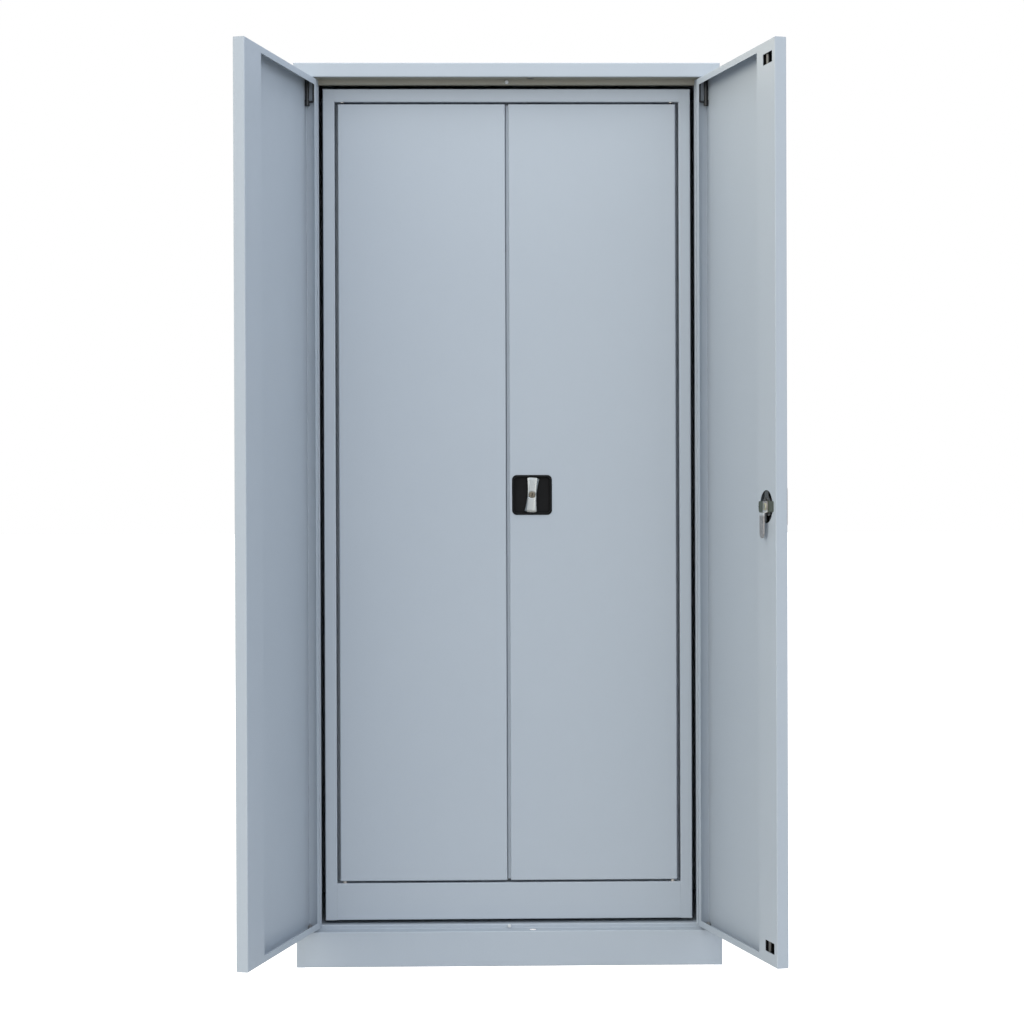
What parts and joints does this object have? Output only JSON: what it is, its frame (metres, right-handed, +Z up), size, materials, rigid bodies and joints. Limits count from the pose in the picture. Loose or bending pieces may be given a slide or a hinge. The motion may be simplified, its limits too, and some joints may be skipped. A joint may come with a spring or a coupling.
{
  "type": "tool cabinet with doors",
  "caption": "Tall steel storage cabinet with wing doors over a second, inner pair of hinged doors, recessed turn-handle locks with rods, and shelves inside.",
  "frame": {"origin": "on the floor, under the middle of the outer carcass", "axes": "+Z up, +X to the right seen from the front, +Y from the front to the back; the doors are at -Y"},
  "size_m": [1.0879, 0.8338, 1.95],
  "materials": {
    "grey_paint": "semi-gloss powder coat, light blue-grey",
    "chrome": "polished die-cast knob",
    "black_plastic": "fine-grained black moulding",
    "zinc_steel": "zinc-plated steel",
    "dark_steel": "dark drawn steel",
    "rod_steel": "dark drawn rod",
    "passivated_steel": "yellow-passivated steel strap",
    "lock_brass": "worn brass",
    "buffer_rubber": "pale rubber",
    "spacer_rubber": "black rubber"
  },
  "bodies": {
    "carcass": {"outer_left_side": "grey_paint", "outer_right_side": "grey_paint", "outer_top": "grey_paint", "outer_bottom": "grey_paint", "outer_back": "grey_paint", "inner_left_side": "grey_paint", "inner_right_side": "grey_paint", "inner_top": "grey_paint", "inner_bottom": "grey_paint", "inner_back": "grey_paint", "base_brackets": "grey_paint", "spacer_pads": "spacer_rubber", "fixing_bolts": "zinc_steel", "top_bushes": "zinc_steel", "bottom_pivots": "zinc_steel", "door_buffers": "buffer_rubber", "shelf_rails": "grey_paint", "shelf_clips": "zinc_steel", "shelf_1": "grey_paint", "shelf_2": "grey_paint", "shelf_3": "grey_paint", "shelf_4": "grey_paint"},
    "outer_left_door": {"outer_left_leaf": "grey_paint", "outer_left_hinge_pin": "dark_steel", "outer_left_lower_bush": "zinc_steel"},
    "outer_right_door": {"outer_right_leaf": "grey_paint", "outer_right_hinge_pin": "dark_steel", "outer_right_lower_bush": "zinc_steel", "outer_handle_plate": "black_plastic", "outer_lock_case": "black_plastic", "outer_lock_screws": "zinc_steel", "outer_rod_strap": "passivated_steel", "outer_rod_guides": "black_plastic"},
    "outer_handle": {"outer_handle_knob": "chrome", "outer_spindle": "zinc_steel", "outer_latch_cam": "zinc_steel", "outer_cam_nut": "lock_brass"},
    "outer_key": {"outer_key_plug": "lock_brass"},
    "outer_rod_up": {"outer_upper_rod": "rod_steel"},
    "outer_rod_down": {"outer_lower_rod": "rod_steel"},
    "inner_left_door": {"inner_left_leaf": "grey_paint", "inner_left_hinge_pin": "dark_steel", "inner_left_lower_bush": "zinc_steel"},
    "inner_right_door": {"inner_right_leaf": "grey_paint", "inner_right_hinge_pin": "dark_steel", "inner_right_lower_bush": "zinc_steel", "inner_handle_plate": "black_plastic", "inner_lock_case": "black_plastic", "inner_lock_screws": "zinc_steel", "inner_rod_strap": "passivated_steel", "inner_rod_guides": "black_plastic"},
    "inner_handle": {"inner_handle_knob": "chrome", "inner_spindle": "zinc_steel", "inner_latch_cam": "zinc_steel", "inner_cam_nut": "lock_brass"},
    "inner_key": {"inner_key_plug": "lock_brass"},
    "inner_rod_up": {"inner_upper_rod": "rod_steel"},
    "inner_rod_down": {"inner_lower_rod": "rod_steel"}
  },
  "joints": [
    {"name": "outer_left_hinge", "type": "hinge", "parent": "carcass", "child": "outer_left_door", "pos_m": [-0.4305, -0.204, 0.082], "axis": [0, 0, -1], "range_deg": [-104.5, 15.5]},
    {"name": "outer_right_hinge", "type": "hinge", "parent": "carcass", "child": "outer_right_door", "pos_m": [0.4305, -0.204, 0.082], "axis": [0, 0, 1], "range_deg": [-104.5, 15.5]},
    {"name": "outer_handle_turn", "type": "hinge", "parent": "outer_right_door", "child": "outer_handle", "pos_m": [0.53145, -0.57039, 0.992], "axis": [-0.9681, -0.2504, 0], "range_deg": [0, 90]},
    {"name": "outer_key_turn", "type": "hinge", "parent": "outer_handle", "child": "outer_key", "pos_m": [0.53145, -0.57039, 0.992], "axis": [-0.9681, -0.2504, 0], "range_deg": [0, 90]},
    {"name": "outer_rod_up_slide", "type": "slide", "parent": "outer_right_door", "child": "outer_rod_up", "axis": [0, 0, 1], "range_m": [0, 0.018]},
    {"name": "outer_rod_down_slide", "type": "slide", "parent": "outer_right_door", "child": "outer_rod_down", "axis": [0, 0, -1], "range_m": [0, 0.018]},
    {"name": "inner_left_hinge", "type": "hinge", "parent": "carcass", "child": "inner_left_door", "pos_m": [-0.3585, -0.159, 0.1775], "axis": [0, 0, -1], "range_deg": [0, 100]},
    {"name": "inner_right_hinge", "type": "hinge", "parent": "carcass", "child": "inner_right_door", "pos_m": [0.3585, -0.159, 0.1775], "axis": [0, 0, 1], "range_deg": [0, 100]},
    {"name": "inner_handle_turn", "type": "hinge", "parent": "inner_right_door", "child": "inner_handle", "pos_m": [0.0525, -0.165, 1.018], "axis": [0, 1, 0], "range_deg": [-5, 85]},
    {"name": "inner_key_turn", "type": "hinge", "parent": "inner_handle", "child": "inner_key", "pos_m": [0.0525, -0.165, 1.018], "axis": [0, 1, 0], "range_deg": [0, 90]},
    {"name": "inner_rod_up_slide", "type": "slide", "parent": "inner_right_door", "child": "inner_rod_up", "axis": [0, 0, 1], "range_m": [-0.001, 0.017]},
    {"name": "inner_rod_down_slide", "type": "slide", "parent": "inner_right_door", "child": "inner_rod_down", "axis": [0, 0, -1], "range_m": [-0.001, 0.017]}
  ],
  "couplings": [
    {"joint": "outer_rod_up_slide", "follows": "outer_handle_turn", "m_per_rad": 0.011459},
    {"joint": "outer_rod_down_slide", "follows": "outer_handle_turn", "m_per_rad": 0.011459},
    {"joint": "inner_rod_up_slide", "follows": "inner_handle_turn", "m_per_rad": 0.011459},
    {"joint": "inner_rod_down_slide", "follows": "inner_handle_turn", "m_per_rad": 0.011459}
  ]
}
